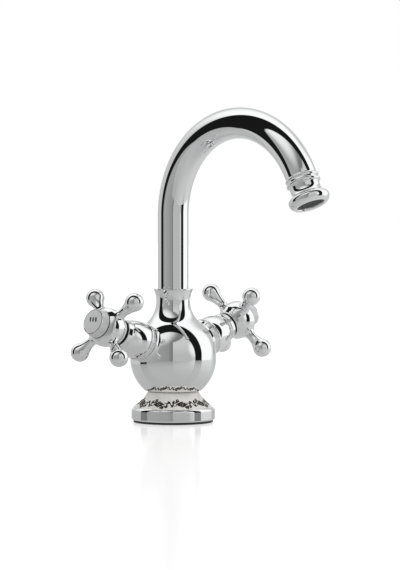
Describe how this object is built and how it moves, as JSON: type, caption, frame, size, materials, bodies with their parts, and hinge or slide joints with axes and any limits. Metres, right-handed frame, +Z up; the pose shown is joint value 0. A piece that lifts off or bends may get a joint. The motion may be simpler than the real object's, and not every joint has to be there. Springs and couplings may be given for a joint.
{
  "type": "bathroom mixer faucet",
  "caption": "Basin mixer with a ball body on a flared ceramic pedestal, a gooseneck swivel spout with a bell outlet, and a cross handle on each inclined side valve.",
  "frame": {"origin": "centre of the base on the deck, on the axis of the riser", "axes": "+Z up along the riser, -Y towards the basin, where the spout points; +X towards the cold handle, -X towards the hot handle"},
  "size_m": [0.162, 0.175, 0.2225],
  "materials": {
    "deck_gasket": "matt black",
    "base_ring": "polished chrome plate",
    "ceramic_pedestal": "glossy white glaze with a dark scroll band",
    "cushion": "matt grey",
    "brass_casting": "machined",
    "body_shell": "polished chrome plate",
    "bush_plastic": "matt white",
    "valve_brass": "machined",
    "seal_rubber": "matt black",
    "valve_ceramic": "ground and lapped",
    "bonnet": "polished chrome plate",
    "spout_tube": "polished chrome plate",
    "screw_steel": "plain",
    "outlet_bell": "polished chrome plate",
    "aerator_plastic": "matt dark grey",
    "screen_steel": "woven wire",
    "handle": "polished chrome plate",
    "index_cap": "polished chrome plate",
    "index_mark": "dark enamel"
  },
  "bodies": {
    "body": {"deck_gasket": "deck_gasket", "base_ring": "base_ring", "ceramic_pedestal": "ceramic_pedestal", "lower_cushion": "cushion", "upper_cushion": "cushion", "base_block": "brass_casting", "body_shell": "body_shell", "mixing_core": "brass_casting", "spout_bush": "bush_plastic", "spout_thrust_ring": "bush_plastic", "hot_cartridge": "valve_brass", "hot_seat_seal": "seal_rubber", "hot_fixed_disc": "valve_ceramic", "hot_bonnet_ring": "bonnet", "hot_bonnet": "bonnet", "hot_wiper": "seal_rubber", "cold_cartridge": "valve_brass", "cold_seat_seal": "seal_rubber", "cold_fixed_disc": "valve_ceramic", "cold_bonnet_ring": "bonnet", "cold_bonnet": "bonnet", "cold_wiper": "seal_rubber"},
    "spout": {"spout_tube": "spout_tube", "spout_spigot": "brass_casting", "spout_o_rings": "seal_rubber", "spout_circlip": "screw_steel", "outlet_bell": "outlet_bell", "aerator_washer": "seal_rubber", "aerator_housing": "aerator_plastic", "aerator_diffuser": "aerator_plastic", "aerator_screen": "screen_steel"},
    "hot_valve": {"hot_handle": "handle", "hot_spindle": "valve_brass", "hot_spindle_o_rings": "seal_rubber", "hot_moving_disc": "valve_ceramic", "hot_handle_screw": "screw_steel", "hot_index_cap": "index_cap", "hot_index_mark": "index_mark"},
    "cold_valve": {"cold_handle": "handle", "cold_spindle": "valve_brass", "cold_spindle_o_rings": "seal_rubber", "cold_moving_disc": "valve_ceramic", "cold_handle_screw": "screw_steel", "cold_index_cap": "index_cap", "cold_index_mark": "index_mark"}
  },
  "joints": [
    {"name": "spout_swivel", "type": "hinge", "parent": "body", "child": "spout", "pos_m": [0, 0, 0.084], "axis": [0, 0, 1], "continuous": true},
    {"name": "hot_valve_turn", "type": "hinge", "parent": "body", "child": "hot_valve", "pos_m": [-0.04719, 0, 0.06353], "axis": [-0.9438, 0, 0.3305], "range_deg": [0, 90]},
    {"name": "cold_valve_turn", "type": "hinge", "parent": "body", "child": "cold_valve", "pos_m": [0.04719, 0, 0.06353], "axis": [0.9438, 0, 0.3305], "range_deg": [0, 90]}
  ]
}
